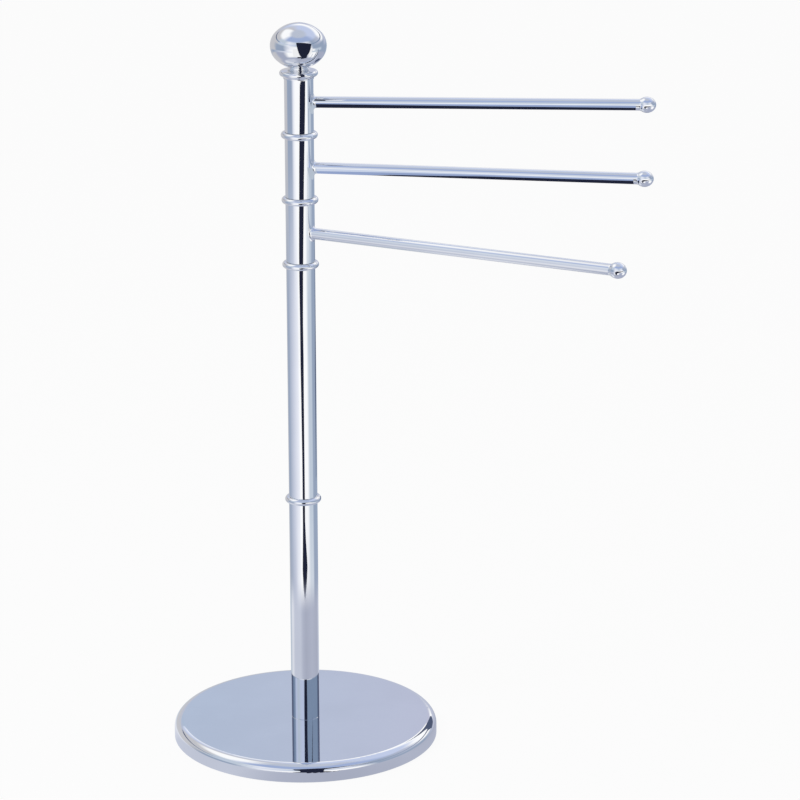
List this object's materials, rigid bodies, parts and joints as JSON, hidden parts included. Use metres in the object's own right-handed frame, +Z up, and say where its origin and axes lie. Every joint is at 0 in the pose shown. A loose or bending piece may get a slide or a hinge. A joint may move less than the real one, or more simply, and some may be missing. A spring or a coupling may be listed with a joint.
{
  "type": "freestanding towel stand",
  "caption": "Freestanding chrome towel stand with swivelling bars on a single post and a heavy round base.",
  "frame": {"origin": "centre of the base's underside, on the post's axis, at floor level", "axes": "+Z up along the post; +X the side the bars reach out to at rest; the picture looks along +Y"},
  "size_m": [0.5368, 0.3352, 0.8252],
  "materials": {
    "chrome": "polished chrome plate",
    "ground_steel": "ground steel",
    "zinc_steel": "zinc plated steel",
    "brass": "turned brass",
    "iron": "black painted casting",
    "nylon": "natural nylon",
    "foam": "closed-cell foam rubber"
  },
  "bodies": {
    "root": {"base_cover": "chrome", "base_pad": "foam", "base_weight": "iron", "base_bolt": "zinc_steel", "base_lock_washer": "zinc_steel", "base_flat_washer": "zinc_steel", "lower_tube": "chrome", "lower_tube_foot_plug": "zinc_steel", "lower_tube_head_plug": "zinc_steel", "joint_ring": "chrome", "joint_stud": "zinc_steel", "upper_tube": "chrome", "upper_tube_foot_plug": "zinc_steel", "upper_tube_head_plug": "zinc_steel", "pivot_shaft": "ground_steel", "ring_lower": "chrome", "ring_middle": "chrome", "ring_upper": "chrome", "top_cap": "chrome", "disc_spring": "ground_steel", "finial_neck": "chrome", "finial_insert": "brass", "finial_ball": "chrome"},
    "arm_upper": {"sleeve_upper": "chrome", "bar_upper": "chrome", "knob_upper": "chrome", "bush_upper_bottom": "nylon", "bush_upper_top": "nylon"},
    "arm_middle": {"sleeve_middle": "chrome", "bar_middle": "chrome", "knob_middle": "chrome", "bush_middle_bottom": "nylon", "bush_middle_top": "nylon"},
    "arm_lower": {"sleeve_lower": "chrome", "bar_lower": "chrome", "knob_lower": "chrome", "bush_lower_bottom": "nylon", "bush_lower_top": "nylon"}
  },
  "joints": [
    {"name": "swivel_upper", "type": "hinge", "parent": "root", "child": "arm_upper", "pos_m": [0, 0, 0.7379], "axis": [0, 0, 1], "continuous": true},
    {"name": "swivel_middle", "type": "hinge", "parent": "root", "child": "arm_middle", "pos_m": [0, 0, 0.6649], "axis": [0, 0, 1], "continuous": true},
    {"name": "swivel_lower", "type": "hinge", "parent": "root", "child": "arm_lower", "pos_m": [0, 0, 0.5919], "axis": [0, 0, 1], "continuous": true}
  ]
}
